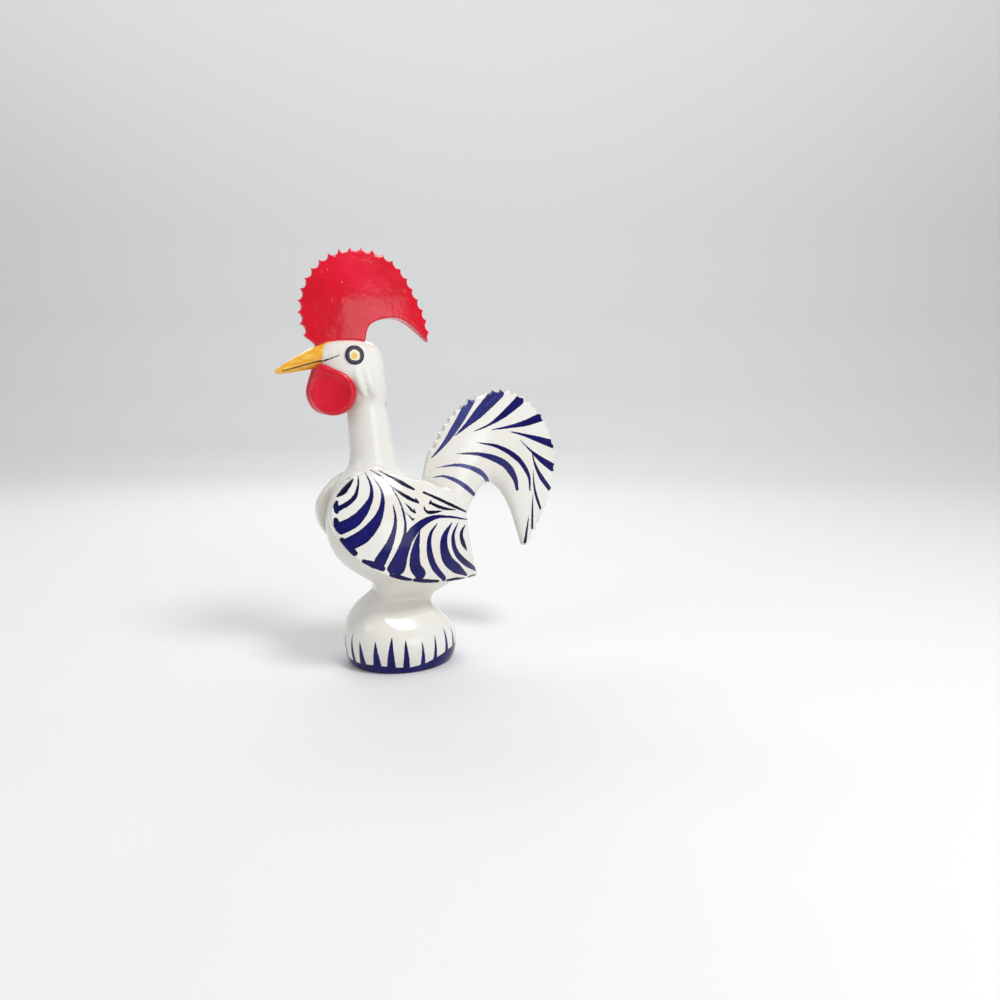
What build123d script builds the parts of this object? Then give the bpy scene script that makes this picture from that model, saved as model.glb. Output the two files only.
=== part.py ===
"""Glazed earthenware rooster ornament, modelled as the pieces that a potter lutes together.

The frame stands on the table: origin at the middle of the foot's flat underside, +Z up, the beak
towards -X and the bird's left side towards -Y. All sizes are millimetres and degrees. A lead is a
distance towards the beak from the middle of the foot, a reach one towards the tail, and a rise a
height above the joint that carries the piece.
"""
import os
from math import cos, radians, sin, sqrt

from build123d import *

# Pedestal: a hollow foot with an oval bulge and a squared waist
pedestal_height = 53.0
pedestal_length = 84.0
pedestal_width = 77.0
waist_length = 45.0
waist_width = 36.0
waist_reach = 3.6
pour_hole_diameter = 14.0
pour_hole_reach = 19.0
wall = 5.0

# Trunk: an egg of a body that runs up into the neck
trunk_height = 88.0
trunk_length = 101.0
trunk_width = 72.0

# Neck: a tube that tapers from the shoulders to the nape
neck_height = 52.0
shoulder_length = 45.0
shoulder_width = 40.0
shoulder_lead = 17.6
nape_length = 28.2
nape_width = 27.0
nape_lead = 22.2

# Head: a rounded wedge that narrows to the beak
head_height = 43.5
head_length = 46.0
head_width = 33.0
head_lead = 33.0

# Beak: a cone with the mouth line cut round it
beak_length = 32.0
beak_root_height = 15.0
beak_root_width = 14.4
beak_tip_diameter = 2.4
beak_rise = 31.4
beak_droop = 20.8
mouth_line_width = 0.9
mouth_line_depth = 0.7

# Comb: a saw-edged disc with a hook behind
comb_radius = 43.5
comb_lead = 24.9
comb_rise = 62.6
comb_thickness = 15.0
comb_edge_thickness = 3.2
comb_teeth = 22
comb_tooth_depth = 3.1
comb_hook_reach = 24.4
comb_hook_rise = 42.4
comb_arch_width = 48.0
comb_arch_height = 16.4

# Wattles: a pair of thick drops under the beak that close together in front
wattle_diameter = 31.8
wattle_height = 35.0
wattle_tip_diameter = 9.0
wattle_tip_lead = 6.6
wattle_thickness = 9.5
wattle_lead = 49.7
wattle_rise = 6.6
wattle_spread = 28.0
wattle_toe_in = 23.0
wattle_round = 3.4
wattle_dish_depth = 0.8
wattle_rim = 4.2

# Eyes: flat buttons on the sides of the head
eye_diameter = 13.4
eye_lead = 33.9
eye_rise = 31.8
eye_stand = 1.4
eye_round = 0.7

# Cheek folds: two pinched ridges below each eye
fold_length = 23.0
fold_diameter = 7.0
fold_spacing = 6.4
fold_lead = 24.4
fold_rise = 14.8
fold_lean = 19.0
folds_per_side = 2

# Wings: curved plates whose front lobe and rear tip stand free of the trunk
wing_spread = 84.6
wing_thickness = 12.5
wing_lobe_lead = 55.5
wing_lobe_rise = 0.74 * trunk_height
wing_tip_reach = 61.4
wing_tip_rise = 0.066 * trunk_height
wing_crown_rise = 0.33 * trunk_height
wing_arch_radius = 102.0
wing_bow_radius = 100.0
wing_bow_lead = 12.0

# Tail: a saw-edged sickle that springs from the back
tail_reach = 132.5
tail_top_rise = 149.0
tail_tip_rise = 25.0
tail_arch_rise = 77.8
tail_root_thickness = 32.0
tail_tip_thickness = 7.0
tail_edge_thickness = 3.6
tail_teeth = 36
tail_tooth_depth = 2.6

# Heights of the joints, up from the table
waist_level = pedestal_height
shoulder_level = waist_level + trunk_height
nape_level = shoulder_level + neck_height

# Bezier handle of a quarter circle, and of the squarer rings near the waist
ROUND = 0.5523
BLUNT = 0.65
SOFT_SQUARE = 0.82
SQUARE = 0.94

# Share of the head's width at the height of the eyes
BROW_WIDTH = 0.95

# Radius of the blunt ends of a cheek fold
FOLD_END = 0.8

# Teeth of the tail left uncut where its root runs into the back
ROOT_TEETH = 3

# A cylinder placed by the middle of its lower end
STANDING = (Align.CENTER, Align.CENTER, Align.MIN)


def oval(level, middle, length, width, handle=ROUND):
    """A horizontal oval face about X = middle, squarer as the handles of its four quarters grow."""
    half_length = length / 2
    half_width = width / 2
    with BuildSketch(Plane.XY.offset(level)) as face:
        with BuildLine():
            for along, across in ((1, 1), (-1, 1), (-1, -1), (1, -1)):
                end = (middle + along * half_length, 0)
                end_handle = (middle + along * half_length, across * handle * half_width)
                side_handle = (middle + along * handle * half_length, across * half_width)
                side = (middle, across * half_width)
                if along == across:
                    Bezier(end, end_handle, side_handle, side)
                else:
                    Bezier(side, side_handle, end_handle, end)
        make_face()
    return face.sketch


def waist_oval():
    """The joint between the pedestal and the trunk."""
    return oval(waist_level, waist_reach, waist_length, waist_width, SQUARE)


def nape_oval():
    """The joint between the neck and the head."""
    return oval(nape_level, -nape_lead, nape_length, nape_width)


def pedestal_ovals():
    """The pedestal from its foot to the waist: shares of its height, length and width."""
    steps = (
        (0.0, 0.895, 0.90, 0.010, ROUND),
        (0.10, 0.965, 0.955, 0.008, ROUND),
        (0.28, 1.0, 1.0, 0.0, ROUND),
        (0.53, 0.928, 0.912, -0.024, BLUNT),
        (0.70, 0.746, 0.738, -0.050, SOFT_SQUARE),
        (0.83, 0.600, 0.57, -0.050, SQUARE),
        (0.92, 0.550, 0.48, -0.016, SQUARE),
    )
    rings = []
    for height, length, width, shift, handle in steps:
        rings.append(oval(height * pedestal_height, shift * pedestal_length, length * pedestal_length,
                          width * pedestal_width, handle))
    return rings + [waist_oval()]


def body_ovals():
    """The trunk and the neck above it, from the waist to the nape."""
    trunk_steps = (
        (0.045, 0.528, 0.60, 0.080, SOFT_SQUARE),
        (0.10, 0.628, 0.735, 0.096, BLUNT),
        (0.17, 0.746, 0.85, 0.068, ROUND),
        (0.26, 0.858, 0.93, 0.025, ROUND),
        (0.40, 0.963, 0.99, -0.008, ROUND),
        (0.58, 0.99, 1.0, -0.030, ROUND),
        (0.74, 0.93, 0.93, -0.044, ROUND),
        (0.88, 0.755, 0.77, -0.082, ROUND),
    )
    neck_steps = (
        (0.14, 0.37, 0.40, 0.82),
        (0.30, 0.18, 0.22, 0.73),
        (0.47, 0.107, 0.13, 0.56),
        (0.64, 0.06, 0.07, 0.37),
        (0.82, 0.02, 0.03, 0.17),
    )
    rings = [waist_oval()]
    for height, length, width, shift, handle in trunk_steps:
        rings.append(oval(waist_level + height * trunk_height, shift * trunk_length,
                          length * trunk_length, width * trunk_width, handle))
    rings.append(oval(shoulder_level, -shoulder_lead, shoulder_length, shoulder_width))
    for height, flare, spread, lean in neck_steps:
        rings.append(oval(shoulder_level + height * neck_height,
                          -nape_lead + lean * (nape_lead - shoulder_lead),
                          nape_length + flare * (shoulder_length - nape_length),
                          nape_width + spread * (shoulder_width - nape_width)))
    return rings + [nape_oval()]


def head_ovals():
    """The head from the nape up to the crown."""
    steps = (
        (0.13, 0.67, 0.91, 0.205),
        (0.31, 0.83, 0.98, 0.12),
        (0.52, 0.97, 1.0, 0.035),
        (0.71, 1.0, BROW_WIDTH, 0.0),
        (0.85, 0.915, 0.82, -0.012),
        (0.95, 0.67, 0.53, -0.005),
        (1.0, 0.32, 0.20, 0.0),
    )
    rings = [nape_oval()]
    for height, length, width, shift in steps:
        rings.append(oval(nape_level + height * head_height, -head_lead + shift * head_length,
                          length * head_length, width * head_width))
    return rings


def lens_radius(thickness, edge_thickness, reach):
    """The radius of the two balls whose overlap thins from thickness to edge_thickness at reach."""
    sagitta = (thickness - edge_thickness) / 2
    return (reach ** 2 + sagitta ** 2) / (2 * sagitta)


def cut_gullets(edge, teeth, depth, first=0, mode=Mode.SUBTRACT):
    """Round gullets along the left side of an edge, from the tooth first, half as deep at its end.

    A wider clearing outside each gullet takes away whatever stands out past the teeth.
    """
    pitch = edge.length / teeth
    for index in range(first, teeth):
        sink = depth if index < teeth - 1 else depth / 2
        radius = (pitch ** 2 / 4 + sink ** 2) / (2 * sink)
        share = (index + 0.5) / teeth
        outward = (edge % share).rotate(Axis.Z, 90)
        middle = edge @ share + outward * (radius - sink)
        clearing = 2 * radius
        with Locations(middle):
            Circle(radius, mode=mode)
        with Locations(middle + outward * clearing):
            Circle(clearing, mode=mode)


def barrel(bow_lead, bow_radius, crown_level, arch_radius, crown_side):
    """A ball-like solid whose crown touches Y = -crown_side, bowed along X and arched along Z."""
    half_height = 0.94 * arch_radius
    waist_radius = bow_radius - arch_radius + sqrt(arch_radius ** 2 - half_height ** 2)
    middle = (-bow_lead, bow_radius - crown_side, crown_level)
    with BuildPart() as solid:
        with BuildSketch(Plane(origin=middle, x_dir=(0, -1, 0), z_dir=(-1, 0, 0))):
            with BuildLine():
                ThreePointArc((waist_radius, -half_height), (bow_radius, 0), (waist_radius, half_height))
                Polyline((waist_radius, half_height), (0, half_height), (0, -half_height),
                         (waist_radius, -half_height))
            make_face()
        revolve(axis=Axis(middle, (0, 0, 1)))
    return solid.part


os.makedirs("parts", exist_ok=True)

# Pedestal: slip-cast foot, open inside, with a pour hole through its floor
with BuildPart() as pedestal:
    loft(sections=pedestal_ovals())
    with BuildSketch(Plane.XZ):
        with BuildLine():
            Polyline((0, pedestal_height), (waist_width / 2 - wall, pedestal_height),
                     (waist_width / 2 - wall, 0.85 * pedestal_height),
                     (0.44 * pedestal_width - wall, 0.5 * pedestal_height),
                     (0.48 * pedestal_width - wall, 0.25 * pedestal_height),
                     (0.45 * pedestal_width - wall, wall), (0, wall), close=True)
        make_face()
    revolve(axis=Axis.Z, mode=Mode.SUBTRACT)
    with Locations((pour_hole_reach, 0, 0)):
        Cylinder(pour_hole_diameter / 2, 4 * wall, mode=Mode.SUBTRACT)
pedestal.part.label = "pedestal"
export_step(pedestal.part, "parts/pedestal.step")

# The skin of trunk and neck in one, which is cut at the shoulder joint
with BuildPart() as body_form:
    loft(sections=body_ovals())

# Trunk: the hollow body below the shoulder joint
belly_radius = trunk_width / 2 - wall
belly_level = waist_level + 0.5 * trunk_height
with BuildPart() as trunk:
    add(body_form.part)
    split(bisect_by=Plane.XY.offset(shoulder_level), keep=Keep.BOTTOM)
    for middle in (-0.14 * trunk_length, 0.09 * trunk_length):
        with Locations((middle, 0, belly_level)):
            Sphere(belly_radius, mode=Mode.SUBTRACT)
    with Locations((0, 0, waist_level)):
        Cylinder(waist_width / 2 - wall, trunk_height / 2, align=STANDING, mode=Mode.SUBTRACT)
    with Locations((-nape_lead, 0, belly_level)):
        Cylinder(nape_length / 2 - wall, trunk_height, align=STANDING, mode=Mode.SUBTRACT)
trunk.part.label = "trunk"
export_step(trunk.part, "parts/trunk.step")

# Neck: the same skin above the shoulder joint
with BuildPart() as neck:
    add(body_form.part)
    split(bisect_by=Plane.XY.offset(shoulder_level), keep=Keep.TOP)
    with Locations((-nape_lead, 0, nape_level)):
        Hole(nape_length / 2 - wall)
neck.part.label = "neck"
export_step(neck.part, "parts/neck.step")

# Head: one lump of clay set on the neck
with BuildPart() as head:
    loft(sections=head_ovals())
head.part.label = "head"
export_step(head.part, "parts/head.step")


def beak_ovals(inset=0.0):
    """The beak's sections, square to its axis, from inside the head to the tip."""
    droop = radians(beak_droop)
    along = Vector(-cos(droop), 0, -sin(droop))
    root = Vector(-head_lead - head_length / 2 + 0.05 * beak_length, 0, nape_level + beak_rise)
    steps = ((-0.32, 1.14, 1.2), (0.0, 1.0, 1.0), (0.5, 0.64, 0.68), (0.93, 0.25, 0.26))
    faces = []
    for share, width, height in steps:
        place = root + along * share * beak_length
        with BuildSketch(Plane(origin=place, x_dir=(0, 1, 0), z_dir=along)) as face:
            Ellipse(width * beak_root_width / 2 - inset, height * beak_root_height / 2 - inset)
        faces.append(face.sketch)
    with BuildSketch(Plane(origin=root + along * beak_length, x_dir=(0, 1, 0), z_dir=along)) as face:
        Circle(beak_tip_diameter / 2 - inset)
    faces.append(face.sketch)
    return faces


# Mouth line: a thin slot along the beak's sides, as deep as the core of the beak lets it go
mouth_level = nape_level + beak_rise
mouth_lead = head_lead + head_length / 2
with BuildPart() as mouth_line:
    with BuildSketch(Plane.XZ):
        with BuildLine():
            Line((-mouth_lead + 0.125 * beak_length, mouth_level - 0.07 * beak_root_height),
                 (-mouth_lead - 0.84 * beak_length, mouth_level - 0.64 * beak_root_height))
        trace(line_width=mouth_line_width)
    extrude(amount=beak_root_width, both=True)
    loft(sections=beak_ovals(inset=mouth_line_depth), mode=Mode.SUBTRACT)

# Beak: a blunt cone luted to the front of the head
with BuildPart() as beak:
    loft(sections=beak_ovals())
    add(mouth_line.part, mode=Mode.SUBTRACT)
    add(head.part, mode=Mode.SUBTRACT)
beak.part.label = "beak"
export_step(beak.part, "parts/beak.step")

# Comb: a saw-edged disc, thick in the middle, that hooks over behind its root
comb_level = nape_level + comb_rise
hook_tip = (comb_hook_reach, nape_level + comb_hook_rise)
arch_crown = (hook_tip[0] - 0.58 * comb_arch_width, hook_tip[1] + comb_arch_height)
arch_limb = (hook_tip[0] - 0.865 * comb_arch_width, hook_tip[1] + 0.77 * comb_arch_height)
root_back = (hook_tip[0] - comb_arch_width, hook_tip[1] - 0.25 * comb_arch_height)
root_front = (-head_lead - 0.5 * head_length, hook_tip[1] - 0.25 * comb_arch_height)
with BuildPart() as comb:
    with BuildSketch(Plane.XZ):
        with BuildLine():
            disc = []
            for angle in (204, 165, 128, 90, 52, 14):
                disc.append((-comb_lead + comb_radius * cos(radians(angle)),
                             comb_level + comb_radius * sin(radians(angle))))
            hook_back = (hook_tip[0] - 0.014 * comb_radius, hook_tip[1] + 0.39 * comb_radius)
            comb_edge = Spline(*disc, hook_back, hook_tip)
            Spline(hook_tip, arch_crown, arch_limb, root_back, tangents=((-0.74, 0.67), (-0.1, -1)))
            Polyline(root_back, (root_back[0], nape_level + 0.75 * head_height),
                     (-head_lead - 0.3 * head_length, nape_level + 0.75 * head_height), root_front,
                     comb_edge @ 0)
        make_face()
        cut_gullets(comb_edge, comb_teeth, comb_tooth_depth)
    extrude(amount=comb_thickness / 2, both=True)
    comb_ball = lens_radius(comb_thickness, comb_edge_thickness, 1.2 * comb_radius)
    ball_level = comb_level - 0.2 * comb_radius
    for side in (-1, 1):
        with Locations((-0.7 * comb_lead, side * (comb_ball - comb_thickness / 2), ball_level)):
            Sphere(comb_ball, mode=Mode.INTERSECT)
    add(head.part, mode=Mode.SUBTRACT)
    add(beak.part, mode=Mode.SUBTRACT)
comb.part.label = "comb"
export_step(comb.part, "parts/comb.step")

# Wattles: thick drops with a dished face, toed in so that the pair meets in front of the throat
toe_in = radians(wattle_toe_in)
with BuildPart() as left_wattle:
    wattle_face = Plane(origin=(-wattle_lead, -wattle_spread / 2, nape_level + wattle_rise),
                        x_dir=(cos(toe_in), -sin(toe_in), 0), z_dir=(-sin(toe_in), -cos(toe_in), 0))
    wattle_top = wattle_height - wattle_diameter / 2 - wattle_tip_diameter / 2
    with BuildSketch(wattle_face) as drop:
        Circle(wattle_diameter / 2)
        with Locations((-wattle_tip_lead, wattle_top)):
            Circle(wattle_tip_diameter / 2)
        make_hull()
    extrude(amount=-wattle_thickness)
    fillet(left_wattle.faces().filter_by(GeomType.PLANE).sort_by(Axis.Y)[0].edges(), wattle_round)
    with BuildSketch(wattle_face):
        add(drop.sketch_local)
        offset(amount=-wattle_rim, mode=Mode.REPLACE)
    extrude(amount=-wattle_dish_depth, mode=Mode.SUBTRACT)
    split(bisect_by=Plane.XZ, keep=Keep.TOP)
    add(head.part, mode=Mode.SUBTRACT)
    add(body_form.part, mode=Mode.SUBTRACT)
    add(beak.part, mode=Mode.SUBTRACT)
left_wattle.part.label = "left_wattle"
export_step(left_wattle.part, "parts/left_wattle.step")

with BuildPart() as right_wattle:
    mirror(left_wattle.part, about=Plane.XZ)
right_wattle.part.label = "right_wattle"
export_step(right_wattle.part, "parts/right_wattle.step")

# Eyes: round buttons on the brow
with BuildPart() as left_eye:
    brow = head_width * BROW_WIDTH / 2
    with BuildSketch(Plane.XZ.offset(brow + eye_stand)):
        with Locations((-eye_lead, nape_level + eye_rise)):
            Circle(eye_diameter / 2)
    extrude(amount=-brow / 2)
    fillet(left_eye.faces().sort_by(Axis.Y)[0].edges(), eye_round)
    add(head.part, mode=Mode.SUBTRACT)
left_eye.part.label = "left_eye"
export_step(left_eye.part, "parts/left_eye.step")

with BuildPart() as right_eye:
    mirror(left_eye.part, about=Plane.XZ)
right_eye.part.label = "right_eye"
export_step(right_eye.part, "parts/right_eye.step")

# Cheek folds: spindle-shaped ridges pinched out of the cheek
lean = radians(fold_lean)
half_fold = fold_length / 2
with BuildPart() as left_cheek_folds:
    for index in range(folds_per_side):
        place = (-fold_lead - index * fold_spacing, -0.46 * head_width, nape_level + fold_rise)
        with BuildSketch(Plane(origin=place, x_dir=(sin(lean), 0, -cos(lean)), z_dir=(0, -1, 0))):
            with BuildLine():
                ThreePointArc((-half_fold, FOLD_END), (0, fold_diameter / 2), (half_fold, FOLD_END))
                Polyline((half_fold, FOLD_END), (half_fold, 0), (-half_fold, 0), (-half_fold, FOLD_END))
            make_face()
        revolve(axis=Axis(place, (sin(lean), 0, -cos(lean))))
    add(head.part, mode=Mode.SUBTRACT)
    add(body_form.part, mode=Mode.SUBTRACT)
    add(left_wattle.part, mode=Mode.SUBTRACT)
left_cheek_folds.part.label = "left_cheek_folds"
export_step(left_cheek_folds.part, "parts/left_cheek_folds.step")

with BuildPart() as right_cheek_folds:
    mirror(left_cheek_folds.part, about=Plane.XZ)
right_cheek_folds.part.label = "right_cheek_folds"
export_step(right_cheek_folds.part, "parts/right_cheek_folds.step")


# Tail: a saw-edged sickle over an arch, thick along the arch and thin at the teeth
def tail_ribs():
    """The inner and outer end of each rib in X and Z: shares of the reach, arch rise and top rise."""
    steps = (
        (0.377, 0.576, 0.149, 0.564),
        (0.442, 0.846, 0.242, 0.785),
        (0.494, 0.961, 0.419, 0.946),
        (0.551, 1.0, 0.649, 1.0),
        (0.623, 0.923, 0.891, 0.879),
        (0.683, 0.765, 1.0, 0.651),
        (0.728, 0.572, 0.959, 0.416),
    )
    ribs = []
    for inner_reach, inner_rise, outer_reach, outer_rise in steps:
        inner = (inner_reach * tail_reach, waist_level + inner_rise * tail_arch_rise)
        outer = (outer_reach * tail_reach, waist_level + outer_rise * tail_top_rise)
        ribs.append((inner, outer))
    tip_inner = (0.777 * tail_reach, waist_level + tail_tip_rise)
    tip_outer = (0.804 * tail_reach, waist_level + 1.04 * tail_tip_rise)
    return ribs + [(tip_inner, tip_outer)]


def tail_section(rib, share):
    """A drop-shaped slice of the tail, round along the arch and thin along the toothed edge."""
    inner, outer = rib
    thickness = tail_root_thickness + share * (tail_tip_thickness - tail_root_thickness)
    along = Vector(outer[0] - inner[0], 0, outer[1] - inner[1])
    depth = along.length
    edge = tail_edge_thickness / 2
    place = (inner[0], 0, inner[1])
    with BuildSketch(Plane(origin=place, x_dir=along, z_dir=along.cross(Vector(0, 1, 0)))) as face:
        with BuildLine():
            Bezier((depth, edge), (0.45 * depth, 0.62 * thickness), (0, 0.70 * thickness), (0, 0))
            Bezier((0, 0), (0, -0.70 * thickness), (0.45 * depth, -0.62 * thickness), (depth, -edge))
            Line((depth, -edge), (depth, edge))
        make_face()
    return face.sketch


with BuildPart() as tail:
    ribs = tail_ribs()
    loft(sections=[tail_section(rib, index / (len(ribs) - 1)) for index, rib in enumerate(ribs)])
    with BuildSketch(Plane.XZ):
        with BuildLine(mode=Mode.PRIVATE):
            tail_edge = Spline(*[outer for inner, outer in ribs])
        cut_gullets(tail_edge, tail_teeth, tail_tooth_depth, ROOT_TEETH, mode=Mode.ADD)
    extrude(amount=tail_root_thickness, both=True, mode=Mode.SUBTRACT)
    add(body_form.part, mode=Mode.SUBTRACT)
tail.part.label = "tail"
export_step(tail.part, "parts/tail.step")


# Wings: plates that thin towards the rim, with a round front lobe and a pointed tip behind
def wing_point(along, up):
    """A point of the wing's outline: shares of the way from lobe to tip and from tip to lobe height."""
    return (-wing_lobe_lead + along * (wing_lobe_lead + wing_tip_reach),
            waist_level + wing_tip_rise + up * (wing_lobe_rise - wing_tip_rise))


with BuildPart() as left_wing:
    with BuildSketch(Plane.XZ):
        with BuildLine():
            rim = Spline(wing_point(0.25, 1.46), wing_point(0.05, 1.20), wing_point(0, 1),
                         wing_point(0.069, 0.60), wing_point(0.302, 0.253), wing_point(0.75, 0.07),
                         wing_point(1, 0))
            trailing = ThreePointArc(rim @ 1, wing_point(0.897, 0.479), wing_point(0.892, 0.976))
            Polyline(trailing @ 1, wing_point(0.625, 1.288), rim @ 0)
        make_face()
    extrude(amount=wing_spread)
    outer_face = barrel(wing_bow_lead, wing_bow_radius, waist_level + wing_crown_rise, wing_arch_radius,
                        wing_spread / 2)
    inner_face = barrel(wing_bow_lead, 1.25 * wing_bow_radius, waist_level + wing_crown_rise,
                        wing_arch_radius, wing_spread / 2 - wing_thickness)
    add(outer_face, mode=Mode.INTERSECT)
    add(inner_face, mode=Mode.SUBTRACT)
    add(body_form.part, mode=Mode.SUBTRACT)
    add(tail.part, mode=Mode.SUBTRACT)
left_wing.part.label = "left_wing"
export_step(left_wing.part, "parts/left_wing.step")

with BuildPart() as right_wing:
    mirror(left_wing.part, about=Plane.XZ)
right_wing.part.label = "right_wing"
export_step(right_wing.part, "parts/right_wing.step")
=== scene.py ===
import math

import bmesh
import bpy
import numpy as np
from mathutils import Matrix, Vector
from mathutils.bvhtree import BVHTree


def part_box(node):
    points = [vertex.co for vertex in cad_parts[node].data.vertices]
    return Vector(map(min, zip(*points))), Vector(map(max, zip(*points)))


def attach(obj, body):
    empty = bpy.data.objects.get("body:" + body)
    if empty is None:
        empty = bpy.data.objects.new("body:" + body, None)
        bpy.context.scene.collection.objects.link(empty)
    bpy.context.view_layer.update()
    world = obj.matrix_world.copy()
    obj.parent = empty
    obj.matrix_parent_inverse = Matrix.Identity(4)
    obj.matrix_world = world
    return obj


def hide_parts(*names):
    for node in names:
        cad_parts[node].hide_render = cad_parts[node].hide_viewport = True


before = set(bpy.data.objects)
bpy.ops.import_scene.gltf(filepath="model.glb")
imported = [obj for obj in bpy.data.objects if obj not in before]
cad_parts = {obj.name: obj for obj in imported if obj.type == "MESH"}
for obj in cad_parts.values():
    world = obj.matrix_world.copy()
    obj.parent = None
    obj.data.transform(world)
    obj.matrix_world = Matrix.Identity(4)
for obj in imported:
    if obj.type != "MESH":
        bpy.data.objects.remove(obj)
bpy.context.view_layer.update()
scene = bpy.context.scene

# Clay body: pedestal, trunk, neck, head, cheek folds, wings and tail are luted together wet with slip,
# then glazed and fired as one, so that their seams vanish. The common skin is drawn once here, with the
# slip smoothed into its corners, and each of those pieces takes its own share of it below.
CLAY = ("pedestal", "trunk", "neck", "head", "left_cheek_folds", "right_cheek_folds", "left_wing",
        "right_wing", "tail")
CLAY_VOXEL = 0.0008
SLIP_OVERLAP = 0.0002


def welded(name):
    """A CAD node as a bmesh with its doubled corners welded."""
    bm = bmesh.new()
    bm.from_mesh(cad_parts[name].data)
    bmesh.ops.remove_doubles(bm, verts=bm.verts, dist=1e-6)
    bm.normal_update()
    return bm


def voxel_skin(bm, voxel):
    """The outer skin of a bmesh as a mesh of even squares."""
    rough = bpy.data.meshes.new("rough")
    bm.to_mesh(rough)
    bm.free()
    holder = bpy.data.objects.new("rough", rough)
    scene.collection.objects.link(holder)
    remesh = holder.modifiers.new("voxels", "REMESH")
    remesh.mode = "VOXEL"
    remesh.voxel_size = voxel
    graph = bpy.context.evaluated_depsgraph_get()
    skin = bpy.data.meshes.new_from_object(holder.evaluated_get(graph))
    bpy.data.objects.remove(holder)
    bpy.data.meshes.remove(rough)
    return skin


def mesh_arrays(mesh):
    """Corner points, edges and square faces of a mesh."""
    points = np.empty(len(mesh.vertices) * 3)
    mesh.vertices.foreach_get("co", points)
    edges = np.empty(len(mesh.edges) * 2, dtype=np.int64)
    mesh.edges.foreach_get("vertices", edges)
    corners = np.empty(len(mesh.loops), dtype=np.int64)
    mesh.loops.foreach_get("vertex_index", corners)
    return points.reshape(-1, 3), edges.reshape(-1, 2), corners.reshape(-1, 4)


def neighbour_mean(values, edges):
    """The mean of each point's neighbours."""
    size = len(values)
    share = np.bincount(edges.ravel(), minlength=size).clip(min=1)
    mean = np.empty_like(values)
    for axis in range(values.shape[1]):
        column = values[:, axis]
        mean[:, axis] = (np.bincount(edges[:, 0], column[edges[:, 1]], size)
                         + np.bincount(edges[:, 1], column[edges[:, 0]], size)) / share
    return mean


def smoothed(points, edges, weight, rounds):
    """The points drawn towards their neighbours, each by its own weight from 0 to 1."""
    points = points.copy()
    for _ in range(rounds):
        points += 0.5 * weight[:, None] * (neighbour_mean(points, edges) - points)
    return points


def outer_island(points, edges, faces):
    """Only what hangs together with the highest point, so that no bubble inside the clay is kept."""
    label = np.arange(len(points))
    while True:
        lowest = np.minimum(label[edges[:, 0]], label[edges[:, 1]])
        joined = label.copy()
        np.minimum.at(joined, edges[:, 0], lowest)
        np.minimum.at(joined, edges[:, 1], lowest)
        joined = joined[joined]
        if np.array_equal(joined, label):
            break
        label = joined
    keep = label == label[points[:, 2].argmax()]
    place = np.cumsum(keep) - 1
    return points[keep], place[edges[keep[edges[:, 0]]]], place[faces[keep[faces[:, 0]]]]


def point_normals(points, faces):
    """Smooth normals of a mesh of square faces."""
    across = np.cross(points[faces[:, 2]] - points[faces[:, 0]], points[faces[:, 3]] - points[faces[:, 1]])
    normals = np.zeros_like(points)
    for corner in range(4):
        for axis in range(3):
            normals[:, axis] += np.bincount(faces[:, corner], across[:, axis], len(points))
    return normals / np.linalg.norm(normals, axis=1).clip(min=1e-12)[:, None]


clay = bmesh.new()
for name in CLAY:
    lump = welded(name)
    for corner in lump.verts:
        corner.co += corner.normal * SLIP_OVERLAP
    lump_mesh = bpy.data.meshes.new("lump")
    lump.to_mesh(lump_mesh)
    lump.free()
    clay.from_mesh(lump_mesh)
    bpy.data.meshes.remove(lump_mesh)

# The hollow of trunk and neck is never seen, so it is filled before the skin is drawn.
BELLY_FILL_X = (-0.0141, 0.0091)
BELLY_FILL_RADIUS = 0.0332
WAIST_FILL_RADIUS = 0.0152
WAIST_FILL_SINK = 0.006
NECK_FILL_X = -0.0222
NECK_FILL_RADIUS = 0.0104
NECK_FILL_RISE = 0.004
trunk_low, trunk_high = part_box("trunk")
neck_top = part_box("neck")[1][2]
belly = (trunk_low[2] + trunk_high[2]) / 2
for belly_x in BELLY_FILL_X:
    bmesh.ops.create_icosphere(clay, subdivisions=4, radius=BELLY_FILL_RADIUS,
                               matrix=Matrix.Translation((belly_x, 0, belly)))
waist_fill = (0.0, WAIST_FILL_RADIUS, trunk_low[2] - WAIST_FILL_SINK, belly)
neck_fill = (NECK_FILL_X, NECK_FILL_RADIUS, belly, neck_top + NECK_FILL_RISE)
for core_x, core_radius, core_low, core_high in (waist_fill, neck_fill):
    bmesh.ops.create_cone(clay, cap_ends=True, segments=48, radius1=core_radius, radius2=core_radius,
                          depth=core_high - core_low,
                          matrix=Matrix.Translation((core_x, 0, (core_low + core_high) / 2)))
skin_points, skin_edges, skin_faces = outer_island(*mesh_arrays(voxel_skin(clay, CLAY_VOXEL)))

# Each point of the skin belongs to the nearest lump of clay.
OWNER_MARGIN = 0.003
OWNER_REACH = 0.004
trees = []
boxes = []
for name in CLAY:
    lump = welded(name)
    trees.append(BVHTree.FromBMesh(lump))
    lump.free()
    low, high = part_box(name)
    boxes.append((np.array(low) - OWNER_MARGIN, np.array(high) + OWNER_MARGIN))
owner = np.zeros(len(skin_points), dtype=np.int64)
nearest = np.full(len(skin_points), np.inf)
for index, (low, high) in enumerate(boxes):
    for point in np.flatnonzero(np.all((skin_points > low) & (skin_points < high), axis=1)):
        distance = trees[index].find_nearest(skin_points[point], OWNER_REACH)[3]
        if distance is not None and distance < nearest[point]:
            nearest[point] = distance
            owner[point] = index


def spread(mark, rings, fade, kept=0.0):
    """A mark from 0 to 1 on points of the skin, carried on from neighbour to neighbour while it fades."""
    for _ in range(rings):
        mark = np.maximum(mark, fade * neighbour_mean(mark[:, None], skin_edges)[:, 0] + kept * mark)
    return mark


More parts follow.
